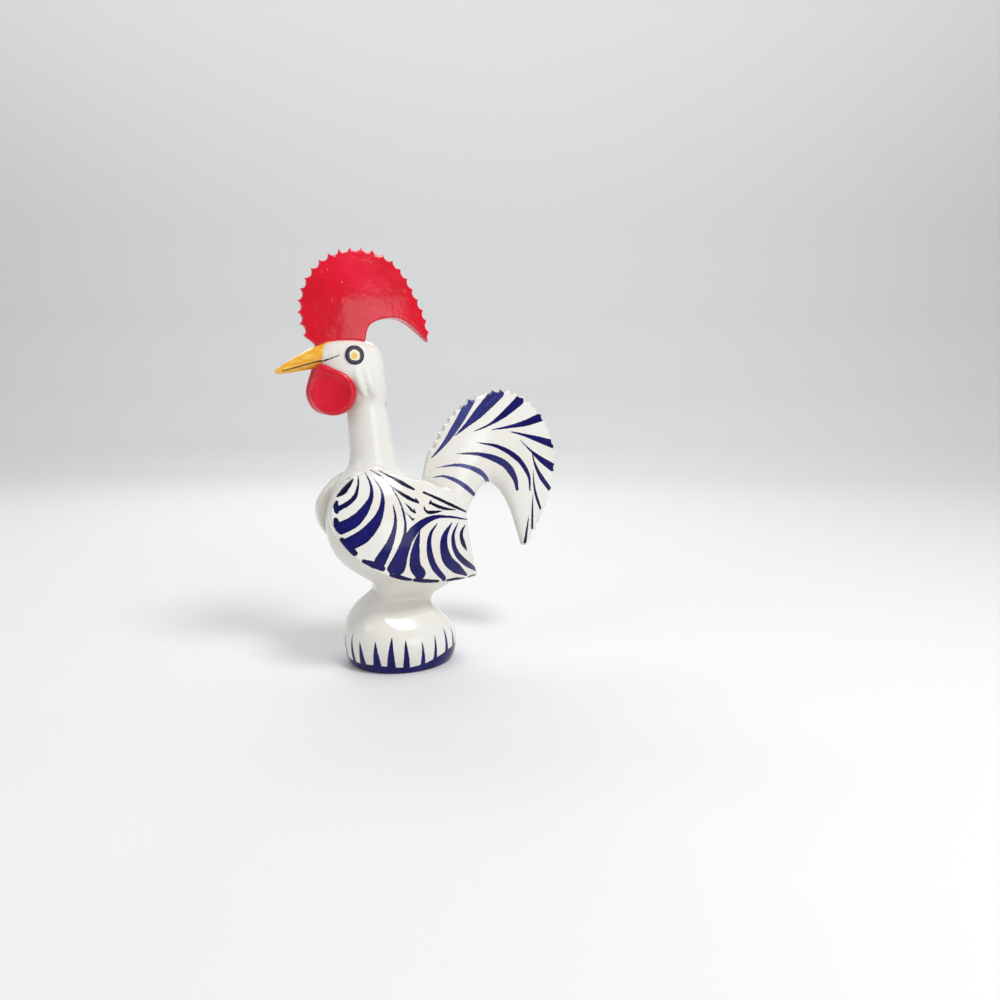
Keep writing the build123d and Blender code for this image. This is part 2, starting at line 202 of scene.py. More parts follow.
# Slip fills the corners within a few millimetres of a seam; teeth stay crisp, other edges round off.
SEAM_RINGS = 6
SEAM_FADE = 0.93
SEAM_KEPT = 0.05
SLIP_ROUNDS = 16
EDGE_SOFTNESS = 0.55
TOOTH_SOFTNESS = 0.05
TOOTH_HALF_THICKNESS = 0.0028
FOLD_SOFTNESS = 0.3
seam = np.zeros(len(skin_points))
crossing = skin_edges[owner[skin_edges[:, 0]] != owner[skin_edges[:, 1]]]
seam[crossing.ravel()] = 1
seam = spread(seam, SEAM_RINGS, SEAM_FADE, SEAM_KEPT)
toothed = (owner == CLAY.index("tail")) & (np.abs(skin_points[:, 1]) < TOOTH_HALF_THICKNESS)
softness = np.where(toothed, TOOTH_SOFTNESS, EDGE_SOFTNESS)
softness = np.maximum(softness, seam.clip(max=1))
pinched = np.isin(owner, (CLAY.index("left_cheek_folds"), CLAY.index("right_cheek_folds")))
softness = np.where(pinched, FOLD_SOFTNESS, softness)
skin_points = smoothed(skin_points, skin_edges, softness, SLIP_ROUNDS)

# Along the back the wings are smeared into trunk, neck and tail until no step is left.
SMEAR_ABOVE = 0.108
SMEAR_RINGS = 16
SMEAR_FADE = 0.97
SMEAR_ROUNDS = 150
winged = np.isin(owner, (CLAY.index("left_wing"), CLAY.index("right_wing")))
smear = np.zeros(len(skin_points))
smear[crossing[winged[crossing].any(axis=1)].ravel()] = 1
smear *= skin_points[:, 2] > SMEAR_ABOVE
smear = spread(smear, SMEAR_RINGS, SMEAR_FADE)
skin_points = smoothed(skin_points, skin_edges, smear.clip(max=1), SMEAR_ROUNDS)

# The foot stands flat on the floor; where the skin lies lower than its neighbourhood, the glaze gets painted
# shade.
HOLLOW_ROUNDS = 24
MILLIMETRES = 1000
skin_points[:, 2] = skin_points[:, 2].clip(min=0)
skin_normals = point_normals(skin_points, skin_faces)
hollow_offset = smoothed(skin_points, skin_edges, np.ones(len(skin_points)), HOLLOW_ROUNDS) - skin_points
skin_hollow = MILLIMETRES * np.sum(hollow_offset * skin_normals, axis=1)

# A point this far from the nearest stroke, in millimetres, counts as bare glaze.
UNPAINTED = 9.0


def write_values(mesh, name, values):
    """One number per point, for the glaze to read."""
    layer = mesh.attributes.get(name) or mesh.attributes.new(name, "FLOAT", "POINT")
    layer.data.foreach_set("value", np.ascontiguousarray(values, dtype=np.float32))


def read_values(mesh, name):
    """The numbers that write_values stored."""
    values = np.empty(len(mesh.vertices), dtype=np.float32)
    mesh.attributes[name].data.foreach_get("value", values)
    return values


def finish_piece(name, points, faces, normals, hollow, material):
    """A visible piece in place of the CAD node of the same name, with bare glaze all over it."""
    mesh = bpy.data.meshes.new(name + "_glazed")
    mesh.from_pydata(points.tolist(), [], faces.tolist())
    mesh.polygons.foreach_set("use_smooth", np.ones(len(faces), dtype=bool))
    mesh.normals_split_custom_set_from_vertices(normals.tolist())
    write_values(mesh, "hollow", hollow)
    for blank, value in (("edge", UNPAINTED), ("along", 0.0), ("across", 0.0), ("tone", 0.0)):
        write_values(mesh, blank, np.full(len(points), value))
    mesh.materials.append(material)
    piece = bpy.data.objects.new(name + "_glazed", mesh)
    scene.collection.objects.link(piece)
    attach(piece, "root")
    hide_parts(name)
    return piece


def take_share(name, material):
    """The share of the clay skin that belongs to one piece."""
    mine = skin_faces[owner[skin_faces[:, 0]] == CLAY.index(name)]
    used, corners = np.unique(mine, return_inverse=True)
    return finish_piece(name, skin_points[used], corners.reshape(-1, 4), skin_normals[used],
                        skin_hollow[used], material)


# Pedestal: a slip-cast hollow foot, oval below and squared at the waist, under a glossy white tin glaze.
# A cobalt band is painted round the foot with the piece on a turntable, and spikes are flicked up from it.
# The ring that stands on the kiln shelf is wiped clean of glaze, so bare clay shows underneath.

# The sizes of paint are in millimetres, and those of clay in metres.
FOOT_HALF_LENGTH = 42.0
FOOT_HALF_WIDTH = 38.5
UNDERSIDE_REACH = 26.0
BAND_HEIGHT = 5.6
BAND_LIFT = 8.0
BAND_FRONT_LIFT = 2.0
BAND_RIPPLE = 0.6
SPIKES = 23
SPIKE_TURN = 0.08
SPIKE_START = 2.0
SPIKE_TOP = 27.0
SPIKE_TOP_VARIES = 2.5
SPIKE_ROOT = 2.5
SPIKE_ROOT_VARIES = 0.33
SPIKE_SWAY = 0.022
COBALT = (0.0030, 0.0015, 0.090, 1)
COBALT_THIN = (0.0170, 0.0190, 0.250, 1)
COBALT_WASH = (0.1100, 0.1250, 0.330, 1)
COBALT_BURNT = (0.0020, 0.0015, 0.0080, 1)
WHITE_WARM = (0.765, 0.735, 0.665, 1)
WHITE_COOL = (0.800, 0.790, 0.745, 1)
WHITE_PAINTED_SHADE = (0.560, 0.545, 0.480, 1)
BARE_CLAY = (0.560, 0.330, 0.190, 1)


def group_with(name, inputs, outputs):
    """An empty shader node group and the two nodes that hold its sockets."""
    tree = bpy.data.node_groups.new(name, "ShaderNodeTree")
    for title, kind, value in inputs:
        socket = tree.interface.new_socket(title, in_out="INPUT", socket_type=kind)
        socket.default_value = value
    for title, kind in outputs:
        tree.interface.new_socket(title, in_out="OUTPUT", socket_type=kind)
    return tree, tree.nodes.new("NodeGroupInput"), tree.nodes.new("NodeGroupOutput")


def wire(tree, kind, settings=None, **sockets):
    """A new node whose sockets are set from values or linked from other sockets.

    A socket is given by its name, with _ for a space, or by its number, such as n6.
    """
    node = tree.nodes.new(kind)
    for key, value in (settings or {}).items():
        setattr(node, key, value)
    for key, value in sockets.items():
        place = int(key[1:]) if key[0] == "n" and key[1:].isdigit() else key.replace("_", " ")
        if isinstance(value, bpy.types.NodeSocket):
            tree.links.new(value, node.inputs[place])
        else:
            node.inputs[place].default_value = value
    return node


def mixed(tree, factor, first, second):
    """A colour between two others."""
    node = wire(tree, "ShaderNodeMix", {"data_type": "RGBA"}, n0=factor, n6=first, n7=second)
    return node.outputs[2]


def counted(tree, operation, first, second=0.0, third=0.0):
    """A sum of the sort that Math nodes do."""
    return wire(tree, "ShaderNodeMath", {"operation": operation}, n0=first, n1=second, n2=third).outputs[0]


def ranged(tree, value, low, high, out_low=0.0, out_high=1.0):
    """A value brought smoothly from one range into another."""
    node = wire(tree, "ShaderNodeMapRange", {"interpolation_type": "SMOOTHSTEP"}, Value=value,
                From_Min=low, From_Max=high, To_Min=out_low, To_Max=out_high)
    return node.outputs[0]


def noise(tree, place, scale, detail=2.0, roughness=0.5):
    """Cloudy noise, about 0.5."""
    return wire(tree, "ShaderNodeTexNoise", None, Vector=place, Scale=scale, Detail=detail,
                Roughness=roughness).outputs["Fac"]


# Brushwork: a loaded brush leaves a dark crisp edge, with hair streaks and thinner pigment inside it
brushwork, brush_in, brush_out = group_with(
    "brushwork", (("Place", "NodeSocketVector", (0, 0, 0)), ("Edge", "NodeSocketFloat", UNPAINTED),
                  ("Along", "NodeSocketFloat", 0.0), ("Across", "NodeSocketFloat", 0.0),
                  ("Tone", "NodeSocketFloat", 0.0)),
    (("Cover", "NodeSocketFloat"), ("Colour", "NodeSocketColor")))
shake = noise(brushwork, brush_in.outputs["Place"], scale=620)
wobble = counted(brushwork, "MULTIPLY_ADD", shake, 0.7, -0.35)
ragged = counted(brushwork, "ADD", brush_in.outputs["Edge"], wobble)
cover = ranged(brushwork, ragged, 0.22, -0.16)
hair_place = wire(brushwork, "ShaderNodeCombineXYZ", None,
                  X=counted(brushwork, "MULTIPLY", brush_in.outputs["Across"], 4.2),
                  Y=counted(brushwork, "MULTIPLY", brush_in.outputs["Along"], 0.07),
                  Z=counted(brushwork, "MULTIPLY", brush_in.outputs["Tone"], 5.0)).outputs[0]
hairs = ranged(brushwork, noise(brushwork, hair_place, scale=1.0, detail=3.0, roughness=0.6), 0.42, 0.78)
cloud = ranged(brushwork, noise(brushwork, brush_in.outputs["Place"], scale=95), 0.35, 0.75)
thinned = counted(brushwork, "MULTIPLY", counted(brushwork, "MULTIPLY_ADD", hairs, 0.6, 0.2), cloud)
pigment = mixed(brushwork, thinned, COBALT, COBALT_THIN)
gathered = ranged(brushwork, counted(brushwork, "ABSOLUTE", brush_in.outputs["Across"]), 0.55, 1.0, 0.0, 0.6)
pigment = mixed(brushwork, gathered, pigment, COBALT_BURNT)
burnt = mixed(brushwork, brush_in.outputs["Tone"], pigment, COBALT_BURNT)
watered = counted(brushwork, "MULTIPLY", brush_in.outputs["Tone"],
                  counted(brushwork, "MULTIPLY_ADD", hairs, -1.0, -0.7))
burnt = mixed(brushwork, watered, burnt, COBALT_WASH)
brushwork.links.new(cover, brush_out.inputs["Cover"])
brushwork.links.new(burnt, brush_out.inputs["Colour"])

# Tin glaze: milky white, darkened with painted shade in the hollows, with the odd pinhole
tin_glaze, tin_in, tin_out = group_with(
    "tin glaze", (("Place", "NodeSocketVector", (0, 0, 0)), ("Hollow", "NodeSocketFloat", 0.0)),
    (("Colour", "NodeSocketColor"), ("Height", "NodeSocketFloat"), ("Roughness", "NodeSocketFloat")))
drift = ranged(tin_glaze, noise(tin_glaze, tin_in.outputs["Place"], scale=22, detail=3.0), 0.3, 0.7)
milk = mixed(tin_glaze, drift, WHITE_WARM, WHITE_COOL)
# Painted shade: the white turns darker where the skin lies in a hollow.
painted_shade = ranged(tin_glaze, tin_in.outputs["Hollow"], 0.05, 0.55)
milk = mixed(tin_glaze, counted(tin_glaze, "MULTIPLY", painted_shade, 0.8), milk, WHITE_PAINTED_SHADE)
holes = ranged(tin_glaze, noise(tin_glaze, tin_in.outputs["Place"], scale=760, detail=0.0), 0.835, 0.86)
milk = mixed(tin_glaze, counted(tin_glaze, "MULTIPLY", holes, 0.55), milk, BARE_CLAY)
swell = noise(tin_glaze, tin_in.outputs["Place"], scale=48)
orange_peel = noise(tin_glaze, tin_in.outputs["Place"], scale=420, detail=1.0)
rise = counted(tin_glaze, "MULTIPLY_ADD", swell, 0.9, counted(tin_glaze, "MULTIPLY", orange_peel, 0.05))
rise = counted(tin_glaze, "MULTIPLY_ADD", holes, -0.25, rise)
tin_glaze.links.new(milk, tin_out.inputs["Colour"])
tin_glaze.links.new(rise, tin_out.inputs["Height"])
tin_glaze.links.new(counted(tin_glaze, "MULTIPLY_ADD", swell, 0.10, 0.12), tin_out.inputs["Roughness"])


def new_material(name, coat, shine=0.5, coat_roughness=0.05):
    """A material, its node tree, its shader and the place in the bird's frame; coat is its glassy layer."""
    material = bpy.data.materials.new(name)
    material.use_nodes = True
    tree = material.node_tree
    shader = tree.nodes["Principled BSDF"]
    shader.inputs["IOR"].default_value = 1.45
    shader.inputs["Specular IOR Level"].default_value = shine
    shader.inputs["Coat Weight"].default_value = coat
    shader.inputs["Coat Roughness"].default_value = coat_roughness
    return material, tree, shader, wire(tree, "ShaderNodeTexCoord").outputs["Object"]


def value_of(tree, name):
    """A number that the mesh holds at each point."""
    return wire(tree, "ShaderNodeAttribute", {"attribute_name": name}).outputs["Fac"]


def called(tree, group, **sockets):
    """A use of a shader node group."""
    return wire(tree, "ShaderNodeGroup", {"node_tree": group}, **sockets)


white_glaze, glaze_tree, glaze_shader, glaze_place = new_material(
    "white_tin_glaze", coat=0.55, shine=0.24, coat_roughness=0.14)
bare = called(glaze_tree, tin_glaze, Place=glaze_place, Hollow=value_of(glaze_tree, "hollow"))
stroke = called(glaze_tree, brushwork, Place=glaze_place, Edge=value_of(glaze_tree, "edge"),
                Along=value_of(glaze_tree, "along"), Across=value_of(glaze_tree, "across"),
                Tone=value_of(glaze_tree, "tone"))
painted = mixed(glaze_tree, stroke.outputs["Cover"], bare.outputs["Colour"], stroke.outputs["Colour"])
height_z = wire(glaze_tree, "ShaderNodeSeparateXYZ", None, Vector=glaze_place).outputs["Z"]
wiped = ranged(glaze_tree, height_z, 0.0006, 0.0003)
finished = mixed(glaze_tree, wiped, painted, BARE_CLAY)
relief = counted(glaze_tree, "MULTIPLY_ADD", stroke.outputs["Cover"], 0.06, bare.outputs["Height"])
bump = wire(glaze_tree, "ShaderNodeBump", None, Strength=0.35, Distance=0.0006, Height=relief)
dull = counted(glaze_tree, "MULTIPLY_ADD", wiped, 0.5, bare.outputs["Roughness"])
gloss = counted(glaze_tree, "MULTIPLY_ADD", stroke.outputs["Cover"], -0.45, 0.55)
glaze_tree.links.new(gloss, glaze_shader.inputs["Coat Weight"])
glaze_tree.links.new(finished, glaze_shader.inputs["Base Color"])
glaze_tree.links.new(dull, glaze_shader.inputs["Roughness"])
glaze_tree.links.new(bump.outputs["Normal"], glaze_shader.inputs["Normal"])

pedestal = take_share("pedestal", white_glaze)


def laid_over(mesh, mask, edge, along, across, tone):
    """Paint added to a mesh where it covers more than what is there already."""
    old_edge = read_values(mesh, "edge")
    mask = mask & (edge < old_edge)
    for name, fresh in (("edge", edge), ("along", along), ("across", across), ("tone", tone)):
        write_values(mesh, name, np.where(mask, fresh, read_values(mesh, name)))


foot_points = MILLIMETRES * mesh_arrays(pedestal.data)[0]
turn = np.arctan2(foot_points[:, 1] / FOOT_HALF_WIDTH, foot_points[:, 0] / FOOT_HALF_LENGTH)
girth = np.hypot(foot_points[:, 0], foot_points[:, 1])
outside = girth > UNDERSIDE_REACH
band_top = BAND_HEIGHT + BAND_LIFT * np.clip(np.cos(turn + 0.2), 0, 1) ** 1.5 + BAND_RIPPLE * np.sin(5 * turn)
band_top += BAND_FRONT_LIFT * np.clip(-np.cos(turn), 0, 1) ** 2
foot_edge = foot_points[:, 2] - band_top
foot_across = np.clip(foot_points[:, 2] / band_top, 0, 1) * 2 - 1
for spike in range(SPIKES):
    middle = -math.pi + (spike + SPIKE_TURN + 0.06 * math.sin(2.4 * spike)) * 2 * math.pi / SPIKES
    top = SPIKE_TOP + SPIKE_TOP_VARIES * math.sin(1.7 * spike + 0.6)
    half = SPIKE_ROOT * (1 + SPIKE_ROOT_VARIES * math.sin(0.9 * spike - 1.2))
    share = np.clip((foot_points[:, 2] - SPIKE_START) / (top - SPIKE_START), 0, 1)
    sway = SPIKE_SWAY * math.sin(2.0 * spike) * share ** 2
    gap = np.angle(np.exp(1j * (turn - middle - sway))) * girth
    spike_edge = np.maximum(np.abs(gap) - half * (1 - share ** 1.6), foot_points[:, 2] - top)
    foot_edge = np.minimum(foot_edge, spike_edge)
    foot_across = np.where(np.abs(gap) < half, gap / half, foot_across)
laid_over(pedestal.data, outside, foot_edge, 3 * foot_points[:, 2], foot_across,
          np.zeros(len(foot_points)))

# Trunk: the hollow egg of the body, slip-cast in two halves and joined before the wings go on.
# It shows as white breast, belly and back, and the strokes of wings and tail run out on it.
trunk = take_share("trunk", white_glaze)

# Neck: a tapered tube of clay, drawn up from the shoulders and smoothed into them with slip.
# It stays white, apart from one short lick of cobalt on the seam at the nape and the thin starts of the
# wings' strokes at its root.
neck = take_share("neck", white_glaze)

# Head: a solid rounded wedge luted on the neck, white, with a thin dark line that carries the mouth on
# across the cheek.
head = take_share("head", white_glaze)

# A stroke is its points (x, z), its widths along them and its tone: 1 is burnt, -1 is watered down.
MOUTH_LINE = (((-54, 220.6), (-48, 223.0), (-44, 224.6), (-41, 225.4)), (0.9, 0.9, 0.7, 0.1), 1.0)
NAPE_LICK = (((-8, 196), (-9.5, 191), (-8.6, 187)), (0.4, 1.2, 0.2), 0.5)
STROKE_STEPS = 12
STROKE_ROOM = 1.5
TURN_MARGIN = 0.4
TURN_SLOPE = 5
HAIRLINE = 0.3


def stroke_path(points, widths):
    """A smooth line through a stroke's points and its half width along it, in millimetres."""
    knots = np.array(points, dtype=float)
    ahead = np.vstack((2 * knots[0] - knots[1], knots, 2 * knots[-1] - knots[-2]))
    steps = np.linspace(0, 1, STROKE_STEPS, endpoint=False)[:, None]
    line = []
    for index in range(len(knots) - 1):
        a, b, c, d = ahead[index:index + 4]
        line.append(0.5 * (2 * b + (c - a) * steps + (2 * a - 5 * b + 4 * c - d) * steps ** 2
                           + (3 * b - a - 3 * c + d) * steps ** 3))
    line = np.vstack(line + [knots[-1:]])
    reach = np.concatenate(((0,), np.cumsum(np.linalg.norm(np.diff(line, axis=0), axis=1))))
    half = np.interp(reach / reach[-1], np.linspace(0, 1, len(widths)), np.array(widths) / 2)
    return line, reach, half


def brush(pieces, side, strokes, above=0.0, facing=0.05):
    """Strokes laid on one side of the bird, -1 for its left, as seen square from it, above a height.

    A stroke ends where the clay turns away, facing that side by less than the given share.
    """
    for piece in pieces:
        points, _, faces = mesh_arrays(piece.data)
        turned = side * point_normals(points, faces)[:, 1]
        outward = (turned > facing - TURN_MARGIN) & (side * points[:, 1] > 0)
        seen = MILLIMETRES * points[:, (0, 2)]
        outward &= seen[:, 1] > above
        for path, widths, tone in strokes:
            line, reach, half = stroke_path(path, widths)
            room = half.max() + STROKE_ROOM
            within = (seen > line.min(axis=0) - room) & (seen < line.max(axis=0) + room)
            inside = outward & within.all(axis=1)
            near = np.flatnonzero(inside)
            if not len(near):
                continue
            start = line[:-1]
            run = np.diff(line, axis=0)
            length = np.linalg.norm(run, axis=1).clip(min=1e-9)
            offset = seen[near][:, None, :] - start[None]
            share = np.clip(np.sum(offset * run, axis=2) / length ** 2, 0, 1)
            gap = np.linalg.norm(offset - share[..., None] * run, axis=2)
            width_here = half[:-1] + share * np.diff(half)
            best = (gap - width_here).argmin(axis=1)
            row = np.arange(len(near))
            turn_side = np.sign(run[best, 0] * offset[row, best, 1] - run[best, 1] * offset[row, best, 0])
            edge = np.full(len(seen), UNPAINTED)
            along = np.zeros(len(seen))
            across = np.zeros(len(seen))
            edge[near] = np.maximum((gap - width_here)[row, best], TURN_SLOPE * (facing - turned[near]))
            # Each stroke starts at a place of its own in the pattern of hairs.
            along[near] = reach[best] + share[row, best] * length[best] + 37 * tone + 11 * line[0, 0]
            across[near] = turn_side * gap[row, best] / width_here[row, best].clip(min=HAIRLINE)
            laid_over(piece.data, inside, edge, along, across, np.full(len(seen), tone))


for side in (-1, 1):
    brush((head,), side, (MOUTH_LINE,))
brush((head, neck), -1, (NAPE_LICK,))

# Cheek folds: two ridges a side, pinched out of soft clay with finger and thumb below the eye and
# smoothed into the cheek; white like the head.
for name in ("left_cheek_folds", "right_cheek_folds"):
    folds = take_share(name, white_glaze)

# Tail: a thick sickle of clay that springs from the back and arches over, its outer edge notched with a
# knife. Cobalt strokes fan out to the notches, and thinner arcs follow the curve of the arch below them.
tail = take_share("tail", white_glaze)
TAIL_FAN = (
    (((25, 151), (35, 162), (46, 176.5), (53, 186.5), (58.5, 194)), (0.5, 2.6, 4.8, 5.8, 5.6), -0.45),
    (((43, 167.5), (52, 175), (61.5, 183), (70.5, 191), (81, 200)), (0.5, 3.2, 7.0, 8.8, 9.8), -0.2),
    (((57, 170.5), (69.5, 175), (83, 182.5), (99, 193.5)), (0.5, 2.0, 5.4, 7.4), 0.1),
    (((72, 171.5), (88, 173.5), (103, 176), (121, 181)), (0.5, 2.4, 5.2, 7.2), 0.0),
    (((87, 170), (100, 167), (114, 163), (131, 158)), (0.5, 2.4, 5.0, 6.8), 0.0),
    (((97, 163), (106, 155), (116, 147.5), (128.5, 140)), (0.5, 1.6, 4.8, 6.8), 0.0),
    (((108, 152.5), (111, 143), (117, 133), (126, 123)), (0.5, 2.4, 4.2, 3.8), 0.1),
    (((109, 139), (110, 128.5), (112.5, 118.5), (117.5, 107.5)), (0.4, 1.6, 2.5, 2.2), 0.2),
    (((109.5, 120.5), (109.5, 107), (110, 92)), (0.4, 1.8, 2.2), 0.4),
    (((106.5, 103), (105, 91), (104, 81)), (0.4, 1.7, 2.3), 0.5),
)
TAIL_ARCS = (
    (((25, 137), (32.5, 138), (43, 133.5), (56.5, 123)), (0.4, 2.5, 3.7, 3.0), -0.5),
    (((28, 144.5), (44.5, 146), (61, 140), (73, 129)), (0.4, 2.5, 4.1, 2.6), -0.6),
    (((42, 154.5), (61, 153.5), (81.5, 146), (91.5, 135), (95, 124.5)), (0.4, 2.6, 5.2, 5.8, 2.4), -0.1),
    (((58.5, 162.5), (77, 158.5), (94, 149), (104.5, 135.5), (106.5, 123)), (0.4, 2.6, 4.3, 3.6, 1.2), 0.1),
)
for side in (-1, 1):
    brush((tail, trunk), side, TAIL_FAN + TAIL_ARCS)

# Wings: two press-moulded plates, thick and round at the rim, luted to the flanks so that the front lobe
# and the rear tip stand free. Each carries two fans of loaded cobalt strokes that open towards the rim,
# with short burnt-looking flicks between them at the shoulder.
wings = [take_share(name, white_glaze) for name in ("left_wing", "right_wing")]
FRONT_FAN = (
    (((-38, 140.5), (-42.5, 136), (-46, 132.5), (-50, 129.5)), (0.6, 2.9, 3.6, 1.4), 0.8),
    (((-34.5, 142.5), (-36, 136), (-39, 129.5), (-44, 125), (-50.5, 121.5)), (0.6, 1.4, 2.6, 3.0, 3.0), 0.5),
    (((-51, 126), (-52, 122.5), (-52, 119.5)), (1.8, 3.4, 2.6), 0.3),
    (((-29.5, 144.5), (-27.5, 137), (-28.5, 129), (-34.5, 120), (-42, 113), (-50, 109)),
     (0.6, 1.8, 3.3, 5.8, 7.6, 8.0), 0.0),
    (((-53, 114.5), (-52.5, 111), (-50.5, 106.5)), (2.8, 4.8, 3.8), 0.2),
    (((-25, 141.5), (-21, 133), (-22, 123), (-27.5, 112.5), (-36.5, 103.5), (-46.5, 98)),
     (0.6, 1.8, 3.8, 7.0, 9.0, 9.0), 0.0),
    (((-50.5, 101.5), (-47.5, 96.5), (-43, 92)), (2.8, 4.6, 3.8), 0.3),
    (((-14.5, 123.5), (-14, 115), (-15.5, 107), (-19.5, 97.5), (-26.5, 86)), (0.6, 2.0, 3.5, 5.8, 8.0), 0.0),
    (((-37.5, 86.5), (-32, 84), (-25, 80.5)), (2.6, 4.8, 3.6), 0.2),
    (((-25, 146), (-17, 139.5), (-10, 126.5), (-7.5, 113.5), (-8.5, 103), (-13.5, 91), (-19, 80)),
     (0.7, 0.8, 1.0, 1.6, 2.2, 3.8, 6.4), 0.1),
)
SHOULDER_FLICKS = (
    (((-19.5, 145.5), (-11.5, 140.5), (-4, 136), (3, 132)), (0.4, 1.7, 3.0, 1.6), 0.85),
    (((-14, 136), (-8, 130.5), (-2, 126.5), (3.5, 123.5)), (0.4, 1.8, 2.8, 1.8), 0.85),
    (((3, 126), (4.5, 123)), (0.9, 1.6), 0.85),
    (((-6, 124), (-3.5, 121), (-1, 118), (1, 116.5)), (0.3, 1.2, 1.9, 1.2), 0.85),
    (((0.5, 119), (1, 116.5)), (0.7, 1.2), 0.85),
    (((-6.5, 117.5), (-4, 115), (-1.5, 112)), (0.3, 0.9, 1.4), 0.85),
    (((0, 113), (-1.5, 112)), (0.6, 1.1), 0.85),
    (((10, 129.5), (20.5, 124.5), (33.5, 118), (47, 111.5)), (1.5, 2.2, 2.3, 1.3), 0.85),
    (((14, 122.5), (18, 120), (25.5, 117), (36.5, 114.5)), (1.8, 2.5, 1.8, 0.4), 0.85),
    (((15, 123.5), (13.5, 121.5)), (0.8, 1.4), 0.85),
    (((8.5, 118.5), (11, 116), (17, 115.5), (24, 115.5)), (1.4, 2.5, 1.8, 0.3), 0.85),
    (((8.5, 120), (9, 117.5)), (0.7, 1.4), 0.85),
)
REAR_FAN = (
    (((47, 106), (30, 110.5), (16.5, 112), (4.5, 108.5), (-4.5, 101.5), (-10, 92), (-14, 80)),
     (0.7, 1.5, 2.1, 4.6, 6.7, 7.9, 9.6), 0.0),
    (((3, 104), (-0.1, 96), (-1.8, 88), (-1.8, 80), (2, 74)), (0.6, 4.2, 7.0, 8.4, 8.6), 0.0),
    (((17.5, 107.5), (11, 100.5), (9.5, 90), (13, 78), (22, 67)), (0.6, 3.1, 4.9, 4.9, 3.8), 0.0),
    (((31, 106.5), (23.5, 98.5), (22, 89), (27, 78), (45.5, 64)), (0.6, 6.0, 8.4, 7.6, 1.2), 0.0),
    (((37, 105.5), (31, 97.5), (32, 87), (39.5, 77.5), (57, 65)), (0.6, 3.6, 4.6, 4.6, 2.2), 0.05),
    (((44, 102.5), (39.5, 98), (39.5, 92.5), (44, 84)), (0.7, 3.4, 4.3, 1.2), 0.55),
)
RIM_DASHES = (
    (((-19.5, 75.5), (-12.5, 73), (-5, 70.5)), (2.4, 3.2, 1.8), 0.4),
    (((-2.5, 70), (6, 68), (17, 66)), (2.2, 3.4, 2.0), 0.5),
    (((25, 65), (32.5, 64), (42, 62.3)), (2.0, 3.6, 2.0), 0.5),
    (((47.5, 61.8), (52, 61.2), (57, 60.3)), (1.8, 3.0, 1.8), 0.5),
)
for side, wing in zip((-1, 1), wings):
    brush((wing, tail), side, FRONT_FAN + SHOULDER_FLICKS + REAR_FAN)
    brush((wing,), side, RIM_DASHES)
    brush((neck,), side, FRONT_FAN + SHOULDER_FLICKS, facing=0.35)
    brush((trunk,), side, FRONT_FAN, above=127, facing=0.5)
    brush((trunk,), side, SHOULDER_FLICKS, above=108, facing=0.2)

# Comb: a flat disc of clay with a knife-notched edge and a hook that curls over behind, set upright on the
# crown. It is thick at the root, thin at the notches, and dipped in a bright red glaze that pools unevenly;
# pinkish patches on it are painted reflection.
RED = (0.680, 0.0005, 0.0180, 1)
RED_DEEP = (0.560, 0.0004, 0.0120, 1)
RED_PAINTED_REFLECTION = (0.740, 0.0090, 0.0400, 1)
RED_THIN = (0.700, 0.0050, 0.0300, 1)
SEAT_REACH = 0.0011
SEAT_DEPTH = 0.0014
SEAT_FACING = -0.3
SAG_ROUNDS = 20
EVEN_SOFTNESS = 0.6
RIM_HALF_THICKNESS = 0.0022
RIM_SOFTNESS = 0.08
FACE_SOFTNESS = 0.7


def sunk(points, normals, host):
    """The points that lie against a host piece, let into it a little so that no gap shows at the seam."""
    lump = welded(host)
    tree = BVHTree.FromBMesh(lump)
    lump.free()
    for index in range(len(points)):
        hit, normal, _, _ = tree.find_nearest(points[index], SEAT_REACH)
        if hit is not None and np.dot(normals[index], normal) < SEAT_FACING:
            points[index] -= SEAT_DEPTH * np.array(normal)
    return points


def own_skin(name, voxel, rounds, softness_of, hosts, material):
    """A piece with a skin of its own, drawn finely, softened and let into the pieces that carry it."""
    points, edges, faces = outer_island(*mesh_arrays(voxel_skin(welded(name), voxel)))
    points = smoothed(points, edges, softness_of(points), rounds)
    normals = point_normals(points, faces)
    for host in hosts:
        points = sunk(points, normals, host)
    normals = point_normals(points, faces)
    sag = smoothed(points, edges, np.ones(len(points)), SAG_ROUNDS) - points
    hollow = MILLIMETRES * np.sum(sag * normals, axis=1)
    return finish_piece(name, points, faces, normals, hollow, material)


def even(points):
    """The same softness all over a piece."""
    return np.full(len(points), EVEN_SOFTNESS)


def crisp_rim(points):
    """Little softness along the thin notched rim."""
    return np.where(np.abs(points[:, 1]) < RIM_HALF_THICKNESS, RIM_SOFTNESS, FACE_SOFTNESS)


red_glaze, red_tree, red_shader, red_place = new_material("red_glaze", coat=0.15, shine=0.4)
red_flow = ranged(red_tree, noise(red_tree, red_place, scale=30, detail=3.0), 0.32, 0.72)
red_colour = mixed(red_tree, red_flow, RED, RED_DEEP)
